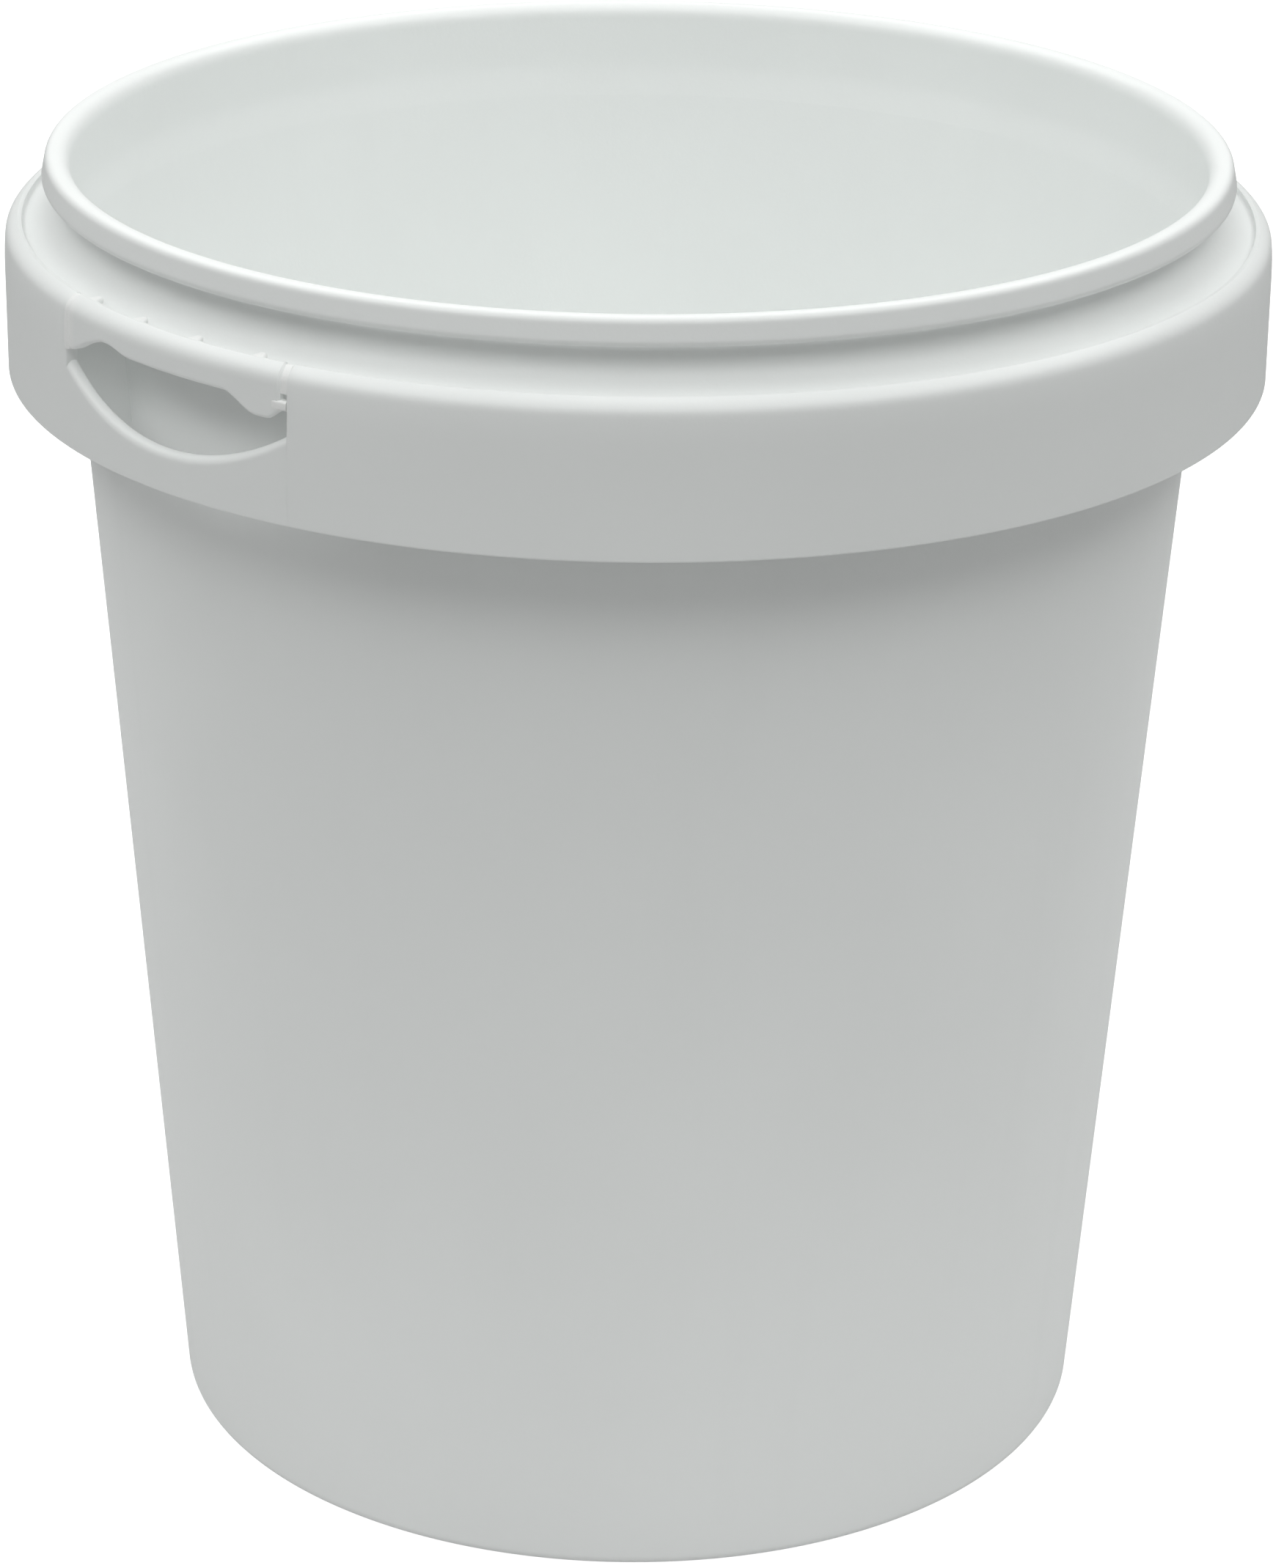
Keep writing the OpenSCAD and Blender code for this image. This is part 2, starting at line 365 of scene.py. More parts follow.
class Tree:
    """A geometry node tree that is written as calls."""

    def __init__(self, name, inputs):
        self.group = bpy.data.node_groups.new(name, "GeometryNodeTree")
        self.ids = {}
        for label, kind in inputs.items():
            socket = self.group.interface.new_socket(
                name=label, in_out="INPUT", socket_type="NodeSocket" + kind)
            self.ids[label] = socket.identifier
        self.group.interface.new_socket(
            name="Mesh", in_out="OUTPUT", socket_type="NodeSocketGeometry")
        self.inputs = self.group.nodes.new("NodeGroupInput").outputs

    def node(self, kind, settings=None, **sockets):
        made = self.group.nodes.new(kind)
        for key, value in (settings or {}).items():
            setattr(made, key, value)
        for key, value in sockets.items():
            place = int(key[1:]) if key[0] == "i" and key[1:].isdigit() else key.replace("_", " ")
            if isinstance(value, bpy.types.NodeSocket):
                self.group.links.new(value, made.inputs[place])
            else:
                made.inputs[place].default_value = value
        return made

    def math(self, operation, a, b=0.0):
        return self.node("ShaderNodeMath", {"operation": operation}, i0=a, i1=b).outputs[0]

    def close(self, geometry, material):
        real = self.node("GeometryNodeRealizeInstances", i0=geometry).outputs[0]
        done = self.node("GeometryNodeSetMaterial", i0=real, Material=material).outputs[0]
        self.group.links.new(done, self.group.nodes.new("NodeGroupOutput").inputs[0])

    def run(self, source, name, **values):
        """Runs the tree on a source object and returns the plain mesh as a new piece."""
        modifier = source.modifiers.new("build", "NODES")
        modifier.node_group = self.group
        for label, value in values.items():
            modifier[self.ids[label]] = value
        shown = source.evaluated_get(bpy.context.evaluated_depsgraph_get())
        mesh = bpy.data.meshes.new_from_object(shown)
        source.modifiers.remove(modifier)
        bpy.data.objects.remove(source)
        finish_mesh(mesh)
        mesh.name = name
        return link(name, mesh)


def lathe_tree():
    """Turns the source's points about the drum's axis, row by row."""
    tree = Tree("Lathe", {"Outline": "Geometry", "Steps": "Int", "Rows": "Int", "Plastic": "Material"})
    steps, rows = tree.inputs["Steps"], tree.inputs["Rows"]
    outline = tree.inputs["Outline"]
    size = tree.node("GeometryNodeAttributeDomainSize", {"component": "MESH"}, i0=outline)
    grid = tree.node(
        "GeometryNodeMeshGrid", Size_X=steps, Size_Y=rows,
        Vertices_X=tree.math("ADD", steps, 1), Vertices_Y=tree.math("ADD", rows, 1))
    place = tree.node("ShaderNodeSeparateXYZ", i0=tree.node("GeometryNodeInputPosition").outputs[0])
    column = tree.math("ADD", place.outputs[0], tree.math("MULTIPLY", steps, 0.5))
    row = tree.math("ROUND", tree.math("ADD", place.outputs[1], tree.math("MULTIPLY", rows, 0.5)))
    sample = tree.node(
        "GeometryNodeSampleIndex", {"data_type": "FLOAT_VECTOR", "domain": "POINT"}, i0=outline,
        Value=tree.node("GeometryNodeInputPosition").outputs[0],
        Index=tree.math("MODULO", row, size.outputs["Point Count"]))
    point = tree.node("ShaderNodeSeparateXYZ", i0=sample.outputs[0])
    angle = tree.math("DIVIDE", tree.math("MULTIPLY", column, math.tau), steps)
    turned = tree.node(
        "ShaderNodeCombineXYZ",
        X=tree.math("MULTIPLY", point.outputs[0], tree.math("SINE", angle)),
        Y=tree.math("MULTIPLY", point.outputs[0], tree.math("MULTIPLY", tree.math("COSINE", angle), -1)),
        Z=point.outputs[2])
    moved = tree.node("GeometryNodeSetPosition", Geometry=grid.outputs[0], Position=turned.outputs[0])
    merged = tree.node("GeometryNodeMergeByDistance", Geometry=moved.outputs[0], Distance=0.002 * MM)
    tree.close(merged.outputs[0], tree.inputs["Plastic"])
    return tree


def ring_tree():
    """Repeats the source along an arc about the drum's axis."""
    tree = Tree("Ring of pieces", {
        "Piece": "Geometry", "Count": "Int", "First": "Float", "Pitch": "Float", "Plastic": "Material"})
    points = tree.node("GeometryNodeMeshLine", Count=tree.inputs["Count"], Offset=(0, 0, 0))
    index = tree.node("GeometryNodeInputIndex").outputs[0]
    angle = tree.math("ADD", tree.inputs["First"], tree.math("MULTIPLY", index, tree.inputs["Pitch"]))
    turn = tree.node("ShaderNodeCombineXYZ", Z=angle)
    spread = tree.node(
        "GeometryNodeInstanceOnPoints", Points=points.outputs[0], Instance=tree.inputs["Piece"],
        Rotation=turn.outputs[0])
    tree.close(spread.outputs[0], tree.inputs["Plastic"])
    return tree


def lathe(name, points, material, closed=True):
    """A piece turned from an outline of (radius, height) points."""
    mesh = bpy.data.meshes.new(name + "_outline")
    mesh.from_pydata([(r, 0, z) for r, z in points], [(i, i + 1) for i in range(len(points) - 1)], [])
    rows = len(points) if closed else len(points) - 1
    turns = bpy.context.scene.drum_sizes.turns
    return lathe_tree().run(link(name + "_outline", mesh), name, Steps=turns, Rows=rows, Plastic=material)


# Materials

class Wire:
    """A shader value. Sums and products of wires add their Math nodes."""

    def __init__(self, shader, socket):
        self.shader = shader
        self.socket = socket

    def _math(self, operation, a, b):
        return self.shader.add("ShaderNodeMath", {"operation": operation}, i0=a, i1=b)

    def __add__(self, other):
        return self._math("ADD", self, other)

    __radd__ = __add__

    def __sub__(self, other):
        return self._math("SUBTRACT", self, other)

    def __rsub__(self, other):
        return self._math("SUBTRACT", other, self)

    def __mul__(self, other):
        return self._math("MULTIPLY", self, other)

    __rmul__ = __mul__

    def clamped(self, low, high):
        """0 at low, 1 at high and smooth between them."""
        return self.shader.add(
            "ShaderNodeMapRange", {"interpolation_type": "SMOOTHSTEP"}, Value=self,
            From_Min=low, From_Max=high, To_Min=0.0, To_Max=1.0)


class Shader:
    """A material or a world, whose nodes are added by calls."""

    def __init__(self, owner, body="Principled BSDF", place="Object"):
        self.owner = owner
        owner.use_nodes = True
        self.tree = owner.node_tree
        self.body = self.tree.nodes[body]
        self.where = self.add("ShaderNodeTexCoord", output=place)

    def add(self, kind, settings=None, output=0, **sockets):
        made = self.tree.nodes.new(kind)
        for key, value in (settings or {}).items():
            setattr(made, key, value)
        for key, value in sockets.items():
            place = int(key[1:]) if key[0] == "i" and key[1:].isdigit() else key.replace("_", " ")
            if isinstance(value, Wire):
                self.tree.links.new(value.socket, made.inputs[place])
            else:
                made.inputs[place].default_value = value
        return Wire(self, made.outputs[output])

    def noise(self, scale, detail=2.0, stretch=(1, 1, 1), seed=0.0):
        """Noise from 0 to 1. Scale is in features per metre along an unstretched axis."""
        place = self.add("ShaderNodeMapping", Vector=self.where, Scale=stretch, Location=(seed, seed, seed))
        return self.add("ShaderNodeTexNoise", Vector=place, Scale=scale, Detail=detail, Roughness=0.5)

    def axes(self):
        split = self.tree.nodes.new("ShaderNodeSeparateXYZ")
        self.tree.links.new(self.where.socket, split.inputs[0])
        return [Wire(self, socket) for socket in split.outputs]

    def mix(self, share, first, second):
        made = self.tree.nodes.new("ShaderNodeMix")
        made.data_type = "RGBA"
        for place, value in ((0, share), (6, first), (7, second)):
            if isinstance(value, Wire):
                self.tree.links.new(value.socket, made.inputs[place])
            else:
                made.inputs[place].default_value = value if place == 0 else (*value, 1)
        return Wire(self, made.outputs[2])

    def bump(self, height, depth, strength=1.0):
        """A Bump of the given depth in metres."""
        made = self.add("ShaderNodeBump", Height=height, Distance=depth, Strength=strength)
        self.set(Normal=made)

    def set(self, **sockets):
        for key, value in sockets.items():
            socket = self.body.inputs[key.replace("_", " ")]
            if isinstance(value, Wire):
                self.tree.links.new(value.socket, socket)
            else:
                socket.default_value = value


def shade(colour, factor):
    return tuple(min(1.0, c * factor) for c in colour)


# Features per metre of the patterns in the plastic
CLOUDS, PEEL, FINE_PEEL, PATCHES, STREAKS, GRAIN = 9, 620, 1900, 38, 150, 2600


def plastic(name, streaks=0.0, gloss=0.0):
    """Satin moulded plastic: cloudy colour, orange peel and streaked gloss."""
    finish = bpy.context.scene.drum_finish
    shader = Shader(bpy.data.materials.new(name))
    clouds = shader.noise(CLOUDS, 3)
    tint = shader.mix(clouds.clamped(0.3, 0.7), shade(finish.white, 0.975), shade(finish.white, 1.02))
    peel = shader.noise(PEEL, 2) * 0.7 + shader.noise(FINE_PEEL, 1, seed=3) * 0.3
    rough = finish.roughness - gloss + shader.noise(PATCHES, 4, seed=7) * 0.1 - 0.05
    if streaks:
        lines = shader.noise(STREAKS, 3, stretch=(1, 1, 0.03), seed=11).clamped(0.52, 0.75)
        rough = rough + lines * streaks
        tint = shader.mix(lines * (streaks * 0.5), tint, shade(finish.white, 0.93))
    shader.set(Base_Color=tint, Roughness=rough, IOR=1.49)
    shader.bump(peel, 0.035 * MM)
    return shader


def whitened_with_highlight(shader, spots, reach):
    """Whitens the plastic near points (x, y, z) where it was bent or torn; the whitening is also a painted
    highlight.
    """
    finish = bpy.context.scene.drum_finish
    tint = Wire(shader, shader.body.inputs["Base Color"].links[0].from_socket)
    for spot in spots:
        away = shader.add(
            "ShaderNodeVectorMath", {"operation": "DISTANCE"}, output=1, i0=shader.where, i1=spot)
        tint = shader.mix((1 - away.clamped(reach * 0.3, reach)) * 0.8, tint, finish.stressed_and_highlight)
    shader.set(Base_Color=tint)
    return shader


def turned_marks(shader):
    """Faint rings left by turning the mould's base insert."""
    x, y, _ = shader.axes()
    reach = shader.add("ShaderNodeMath", {"operation": "SQRT"}, i0=x * x + y * y)
    rings = shader.add("ShaderNodeMath", {"operation": "SINE"}, i0=reach * 5200)
    peel = shader.noise(700, 2)
    shader.bump(rings * 0.25 + peel, 0.03 * MM)
    return shader


# Pieces

def seam_height():
    """Where the collar's fillet has run out and the plain neck goes on."""
    return drum.web_top + bpy.context.scene.drum_sizes.neck_curve + 0.5 * MM


class DRUM_OT_wall(bpy.types.Operator):
    """Build the tapered side wall"""
    bl_idname = "drum.wall"
    bl_label = "Tapered wall"

    def execute(self, context):
        outline = [
            Vector((drum.wall_in_low, drum.wall_low)), Vector((drum.wall_out_low, drum.wall_low)),
            Vector((drum.wall_out_high, drum.wall_high)), Vector((drum.wall_in_high, drum.wall_high))]
        surface = plastic("satin_wall", streaks=0.12).owner
        piece = lathe("tapered_wall", spaced(outline), surface)
        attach(piece, TUB)
        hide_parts("side_wall")
        return {"FINISHED"}


class DRUM_OT_base(bpy.types.Operator):
    """Build the floor, the heel and the ring that the drum stands on"""
    bl_idname = "drum.base"
    bl_label = "Base"

    def execute(self, context):
        sizes = context.scene.drum_sizes
        step = 0.35 * MM  # how far a shallow ring stands down from the floor's underside
        ring_in, ring_out, slope = 0.42, 0.9, 0.01  # its edges, as shares of the foot's inner radius
        outline = rounded([
            (0, drum.gate_low, 0),
            (drum.gate_r, drum.gate_low, sizes.edge),
            (drum.gate_r, drum.floor_low, sizes.edge),
            (drum.foot_in * ring_in, drum.floor_low, sizes.edge / 2),
            (drum.foot_in * (ring_in + slope), drum.floor_low - step, sizes.edge / 2),
            (drum.foot_in * ring_out, drum.floor_low - step, sizes.edge / 2),
            (drum.foot_in * (ring_out + slope), drum.floor_low, sizes.edge / 2),
            (drum.foot_in, drum.floor_low, sizes.edge * 2),
            (drum.foot_in, 0, sizes.edge * 2),
            (drum.wall_out(0), 0, sizes.heel),
            (drum.wall_out_low, drum.wall_low, 0),
            (drum.wall_in_low, drum.wall_low, 0),
            (drum.wall_in(drum.floor_top), drum.floor_top, sizes.floor_fillet),
            (0, drum.floor_top, 0)], closed=False)
        shader = turned_marks(plastic("satin_base"))
        piece = lathe("base", spaced(outline, closed=False), shader.owner, closed=False)
        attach(piece, TUB)
        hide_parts("foot_ring", "floor_pan", "gate_mark")
        return {"FINISHED"}


class DRUM_OT_rim(bpy.types.Operator):
    """Build the neck and the bead that the lid is pressed over"""
    bl_idname = "drum.rim"
    bl_label = "Neck and bead"

    def execute(self, context):
        sizes = context.scene.drum_sizes
        seam = seam_height()
        tuck = 0.25 * MM
        flare, flare_turn = 5 * MM, 12 * MM  # how the taper runs out into the straight neck
        under_turn, groove_turn = 0.9 * MM, 1.1 * MM
        outline = rounded([
            (drum.wall_in_high, drum.wall_high, 0),
            (drum.neck_in, drum.wall_high + flare, flare_turn),
            (drum.neck_in, drum.top, sizes.mouth_curve),
            (drum.bead_r - sizes.bead_lean, drum.top, sizes.bead_curve),
            (drum.bead_r, drum.bead_low + 0.4 * MM, under_turn),
            (drum.neck_r, drum.bead_low - 0.2 * MM, groove_turn),
            (drum.neck_r, seam, 0),
            (drum.neck_r - tuck, seam, 0),
            (drum.neck_r - tuck, drum.web_low + tuck, 0),
            (drum.neck_r, drum.web_low + tuck, 0),
            (drum.neck_r, drum.wall_high, 0)])
        surface = plastic("satin_rim", streaks=0.05, gloss=0.06).owner
        piece = lathe("neck_and_bead", spaced(outline), surface)
        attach(piece, TUB)
        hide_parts("neck", "sealing_bead")
        return {"FINISHED"}


def opening_edge(angle):
    """Height of the finger opening's lower edge at an azimuth."""
    sizes = bpy.context.scene.drum_sizes
    side = drum.collar_r * math.sin(angle - drum.zone_mid)
    middle = drum.lip_top - sizes.opening_depth + sizes.opening_radius
    return middle - math.sqrt(sizes.opening_radius ** 2 - side ** 2)


# Depths below the lip's crest, in mm, at which its outline has a point
LIP_DEPTHS = (0, 0.12, 0.3, 0.55, 0.85, 1.2, 1.6, 2.0, 2.4, 2.9, 3.6, 4.4, 5.2, 6.2, 7.2, 8.2)


def soft_lip(low):
    """Outer side of the lip from its crest down to a height: a tight curve that runs out slowly."""
    sizes = bpy.context.scene.drum_sizes
    set_back, tightness = 1.75 * MM, 2.6
    clear = 1.2 * MM
    corners = []
    for depth in LIP_DEPTHS:
        turn = max(0, 1 - depth * MM / sizes.lip_turn) ** tightness
        crown = max(0, 1 - depth * MM / sizes.crown) ** 2
        height = drum.lip_top - depth * MM
        if height > low + clear:
            corners.append((drum.collar_r - set_back * turn - sizes.crown_depth * crown, height, 0))
    return corners


def web_corners():
    """Corners of the collar's web, from inside the neck to the foot of the lip."""
    seam = seam_height()
    sunk = drum.neck_r - 0.5 * MM
    return [(sunk, drum.web_low, 0), (sunk, seam, 0), (drum.neck_r, seam, 0),
            (drum.neck_r, drum.web_top, bpy.context.scene.drum_sizes.neck_curve)]


def collar_outline():
    """Full section through the web, the lip and the skirt."""
    edge = bpy.context.scene.drum_sizes.edge
    return spaced(rounded(web_corners() + [
        (drum.lip_in, drum.web_top, edge),
        (drum.lip_in, drum.lip_top - 0.15 * MM, 0.12 * MM)] + soft_lip(drum.skirt_low) + [
        (drum.collar_r, drum.skirt_low, edge),
        (drum.skirt_in, drum.skirt_low, edge),
        (drum.skirt_in, drum.web_low, 0.8 * MM)]), gap=4 * MM)


def web_outline():
    """Section through the web where the strip's slot cuts it short."""
    edge = bpy.context.scene.drum_sizes.edge
    return spaced(rounded(web_corners() + [
        (drum.slot_r, drum.web_top, edge),
        (drum.slot_r, drum.web_low, edge)]), gap=4 * MM)


def skirt_outline(angle):
    """Section through the skirt under the finger opening."""
    edge = bpy.context.scene.drum_sizes.edge
    return spaced(rounded([
        (drum.skirt_in, drum.skirt_low, edge),
        (drum.skirt_in, opening_edge(angle), 0.5 * MM),
        (drum.collar_r, opening_edge(angle), 1.35 * MM),
        (drum.collar_r, drum.skirt_low, edge)]), gap=40 * MM)


def drawn_in(points, amount_at):
    """An outline moved inwards by its own amount at each point."""
    moved = []
    count = len(points)
    area = sum(points[i - 1].cross(points[i]) for i in range(count))
    for i, here in enumerate(points):
        along = (points[(i + 1) % count] - points[i - 1]).normalized()
        inwards = Vector((-along.y, along.x)) * (1 if area > 0 else -1)
        moved.append(here + inwards * amount_at(here))
    return moved


class DRUM_OT_collar(bpy.types.Operator):
    """Build the tamper evident collar with its finger opening"""
    bl_idname = "drum.collar"
    bl_label = "Collar"

    def execute(self, context):
        edge = context.scene.drum_sizes.edge
        section = collar_outline()
        side = opening_edge(drum.zone_a)
        grow = edge / drum.collar_r

        def corner_loss(point):
            above = min(1, max(0, (point.y - side) / MM))
            return edge * above if point.x > drum.slot_r + 0.4 * MM else 0

        ends = {0: drawn_in(section, corner_loss), 1: drawn_in(section, lambda p: corner_loss(p) * 0.3)}
        angles = evenly(drum.zone_b, drum.zone_a + math.tau, 2.2 * MM, drum.collar_r)
        angles[1:1] = [angles[0] + grow * 0.3, angles[0] + grow]
        angles[-1:-1] = [angles[-1] - grow, angles[-1] - grow * 0.3]
        last = len(angles) - 1
        order = {angles[0]: 0, angles[1]: 1, angles[last]: 0, angles[last - 1]: 1}
        bm = bmesh.new()
        sweep_columns(bm, lambda a: ends[order[a]] if a in order else section, angles)
        tuck = 0.05 * MM / drum.collar_r
        across = evenly(drum.zone_a - tuck, drum.zone_b + tuck, 0.5 * MM, drum.collar_r)
        web = web_outline()
        sweep_columns(bm, lambda a: web, across)
        sweep_columns(bm, skirt_outline, across)
        piece = piece_from("collar", bm, plastic("satin_collar", streaks=0.04, gloss=0.03).owner)
        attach(piece, TUB)
        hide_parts("collar_web", "collar_skirt")
        return {"FINISHED"}


class DRUM_OT_ribs(bpy.types.Operator):
    """Build the ribs between the wall and the collar's skirt"""
    bl_idname = "drum.ribs"
    bl_label = "Collar ribs"

    def execute(self, context):
        sizes = context.scene.drum_sizes
        sunk = 0.4 * MM
        inner = drum.wall_out(drum.rib_low) - sunk
        outline = rounded([
            (inner, drum.rib_low, 0), (drum.skirt_in + sunk, drum.rib_low, 0),
            (drum.skirt_in + sunk, drum.web_low + sunk, 0), (drum.neck_r - sunk, drum.web_low + sunk, 0),
            (drum.neck_r - sunk, drum.wall_high, 0),
            (drum.wall_out(drum.wall_high) - sunk, drum.wall_high, 0)])
        bm = bmesh.new()
        half = sizes.rib_thickness / 2
        faces = [[bm.verts.new((side, -r, z)) for r, z in outline] for side in (-half, half)]
        bm.faces.new(faces[0])
        bm.faces.new(list(reversed(faces[1])))
        for i in range(len(outline)):
            k = (i + 1) % len(outline)
            bm.faces.new((faces[0][k], faces[0][i], faces[1][i], faces[1][k]))
        bmesh.ops.recalc_face_normals(bm, faces=bm.faces)
        low = [e for e in bm.edges if all(abs(v.co.z - drum.rib_low) < 0.01 * MM for v in e.verts)
               and abs(e.verts[0].co.x - e.verts[1].co.x) < 0.01 * MM]
        bmesh.ops.bevel(bm, geom=low, offset=half * 0.7, segments=4, profile=0.5, affect="EDGES")
        mesh = bpy.data.meshes.new("rib")
        bm.to_mesh(mesh)
        bm.free()
        first = drum.zone_b + sizes.rib_inset / drum.collar_r
        last = drum.zone_a + math.tau - sizes.rib_inset / drum.collar_r
        piece = ring_tree().run(
            link("rib", mesh), "collar_ribs_moulded", Count=sizes.rib_count, First=first,
            Pitch=(last - first) / (sizes.rib_count - 1), Plastic=plastic("satin_ribs").owner)
        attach(piece, TUB)
        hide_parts("collar_ribs")
        return {"FINISHED"}


def smooth(value, low, high):
    """0 below low, 1 above high and an even curve between them."""
    share = min(1, max(0, (value - low) / (high - low)))
    return share * share * (3 - 2 * share)


def strip_edge(angle):
    """Height of the tear strip's lower edge at an azimuth."""
    sizes = bpy.context.scene.drum_sizes
    along = (angle - drum.strip_a) * drum.collar_r
    left = (drum.strip_b - drum.strip_a) * drum.collar_r - along
    arch = drum.lip_top - sizes.strip_depth
    leg = drum.lip_top - drum.leg_low - sizes.strip_depth
    hinge_leg = leg * (1 - smooth(along, 0, sizes.leg_width * 1.3))
    free_leg = leg * (1 - smooth(left, sizes.leg_width - 2.2 * MM, sizes.leg_width + 4.6 * MM))
    arch_rise, corner_rise = 0.9 * MM, 1.3 * MM
    rise = arch_rise * smooth(along, 7 * MM, 11 * MM) * (1 - smooth(along, 12 * MM, 18 * MM))
    corner = corner_rise * (1 - smooth(left, 0, 2.4 * MM))
    return arch - hinge_leg - free_leg + rise + corner


def strip_outline(angle):
    """Section through the tear strip."""
    edge = bpy.context.scene.drum_sizes.edge
    low = strip_edge(angle)
    return rounded([
        (drum.lip_in, drum.web_low, edge),
        (drum.lip_in, drum.lip_top - 0.15 * MM, 0.12 * MM)] + soft_lip(drum.lip_top - 4.4 * MM) + [
        (drum.collar_r - 0.06 * MM, low, 0.6 * MM),
        (drum.skirt_in, low, 0.5 * MM),
        (drum.skirt_in, drum.web_low, edge)], hold=0.3 * MM)


class DRUM_OT_strip(bpy.types.Operator):
    """Build the tear strip with its arched lower edge"""
    bl_idname = "drum.strip"
    bl_label = "Tear strip"

    def execute(self, context):
        edge = context.scene.drum_sizes.edge
        angles = evenly(drum.strip_a, drum.strip_b, 0.4 * MM, drum.collar_r)
        last = len(angles) - 1
        loss = {angles[0]: edge, angles[1]: 0, angles[last]: edge, angles[last - 1]: 0}

        def section(angle):
            points = strip_outline(angle)
            return drawn_in(points, lambda p: loss[angle]) if loss.get(angle) else points

        bm = bmesh.new()
        sweep_columns(bm, section, angles)
        # The strip's end at the hinge is painted whiter: stress whitening and a painted highlight along the
        # hinge line.
        shader = whitened_with_highlight(
            plastic("satin_strip", streaks=0.04, gloss=0.03), strip_spots(), 3.2 * MM)
        piece = piece_from("tear_strip_moulded", bm, shader.owner)
        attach(piece, STRIP)
        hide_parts("tear_tab")
        return {"FINISHED"}


def on_collar(angle, radius, height):
    return (radius * math.sin(angle), -radius * math.cos(angle), height)


def strip_spots():
    """Points on the strip where the plastic has been bent, which get stress whitening and a painted
    highlight.
    """
    middle = (drum.lip_top + drum.leg_low) / 2
    return [on_collar(azimuth(drum.hinge), drum.collar_r, middle + offset * MM) for offset in (-3, 0, 3)]


class DRUM_OT_bridges(bpy.types.Operator):
    """Build the thin bridges that hold the strip until it is torn"""
    bl_idname = "drum.bridges"
    bl_label = "Bridges"

    def execute(self, context):
        sizes = context.scene.drum_sizes
        sunk, swell = 0.05 * MM, 0.2 * MM  # the wide end lies under the crest, the torn tip stands up
        root, reach = 0.6 * MM, 1.5 * MM  # outwards and inwards from the lip's inner edge
        taper, bevel = 0.45, 0.45 * MM
        low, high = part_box("top_bridges")[0].z, drum.lip_top - sunk
        tip = min(min(p.xy.length for p in points_of("top_bridges")), drum.lip_in - reach)
        half = sizes.bridge_width / 2
        bm = bmesh.new()
        wide = [(-half, -drum.lip_in - root), (half, -drum.lip_in - root)]
        narrow = [(half * taper, -tip), (-half * taper, -tip)]
        levels = [[bm.verts.new((x, y, low)) for x, y in wide + narrow],
                  [bm.verts.new((x, y, high)) for x, y in wide] +
                  [bm.verts.new((x, y, high + swell)) for x, y in narrow]]
        bm.faces.new(levels[0])
        bm.faces.new(list(reversed(levels[1])))
        for i in range(4):
            k = (i + 1) % 4
            bm.faces.new((levels[0][k], levels[0][i], levels[1][i], levels[1][k]))
        bmesh.ops.recalc_face_normals(bm, faces=bm.faces)
        bmesh.ops.bevel(bm, geom=bm.edges[:], offset=bevel, segments=4, profile=0.5, affect="EDGES")
        mesh = bpy.data.meshes.new("bridge")
        bm.to_mesh(mesh)
        bm.free()
        found = [azimuth(p) for p in points_of("top_bridges")]
        first = min(found) + half / drum.lip_in
        last = max(found) - half / drum.lip_in
        # The bridges are painted whiter: stress whitening and a painted highlight on their tops.
        shader = stressed_plastic_with_highlight("torn_bridges_with_highlight")
        piece = ring_tree().run(
            link("bridge", mesh), "top_bridges_moulded", Count=sizes.bridge_count, First=first,
            Pitch=(last - first) / (sizes.bridge_count - 1), Plastic=shader.owner)
        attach(piece, STRIP)
        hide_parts("top_bridges")
        return {"FINISHED"}


def stressed_plastic_with_highlight(name):
    """Plastic that has gone white where it was stretched, made whiter also as a painted highlight."""
    finish = bpy.context.scene.drum_finish
    shader = Shader(bpy.data.materials.new(name))
    grain = shader.noise(GRAIN, 3)
    shader.set(Base_Color=shader.mix(grain, shade(finish.stressed_and_highlight, 0.96), finish.stressed_and_highlight), IOR=1.49)
    shader.set(Roughness=grain * 0.15 + 0.45)
    shader.bump(grain, 0.05 * MM)
    return shader


class DRUM_OT_end_bridge(bpy.types.Operator):
    """Build the bridge at the strip's free end"""
    bl_idname = "drum.end_bridge"
    bl_label = "End bridge"

    def execute(self, context):
        low, high = (corner.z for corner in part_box("end_bridge"))
        found = [azimuth(p) for p in points_of("end_bridge")]
        overlap, sunk, thin = 0.3 * MM, 0.5 * MM, 0.4 * MM
        start, stop = min(found) - 1.4 * MM / drum.collar_r, max(found)
        inner = min(p.xy.length for p in points_of("end_bridge"))
        middle = (low + high) / 2

        def section(angle):
            share = (angle - start) / (stop - start)
            tall = (high - low) / 2 * (1 - 0.25 * share)
            proud = 0.12 * MM * math.sin(math.pi * min(1, share * 1.6))
            return rounded([
                (inner, middle - tall, tall * 0.5), (inner, middle + tall, tall * 0.5),
                (drum.collar_r - 0.1 * MM + proud, middle + tall, tall * 0.6),
                (drum.collar_r - 0.1 * MM + proud, middle - tall, tall * 0.6)])

        def membrane(angle):
            outer = [Vector(corner[:2]) - Vector((sunk, 0)) for corner in soft_lip(middle)][2:]
            inner = [p - Vector((thin, 0)) for p in outer]
            return outer + list(reversed(inner))

        bm = bmesh.new()
        sweep_columns(bm, section, evenly(start, stop, 0.2 * MM, drum.collar_r))
        sweep_columns(bm, membrane, [drum.strip_b - overlap / drum.collar_r, stop])
        # The end bridge is painted whiter: stress whitening and a painted highlight.
        piece = piece_from("end_bridge_moulded", bm, stressed_plastic_with_highlight("torn_end_bridge_with_highlight").owner)
        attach(piece, STRIP)
        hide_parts("end_bridge")
        return {"FINISHED"}


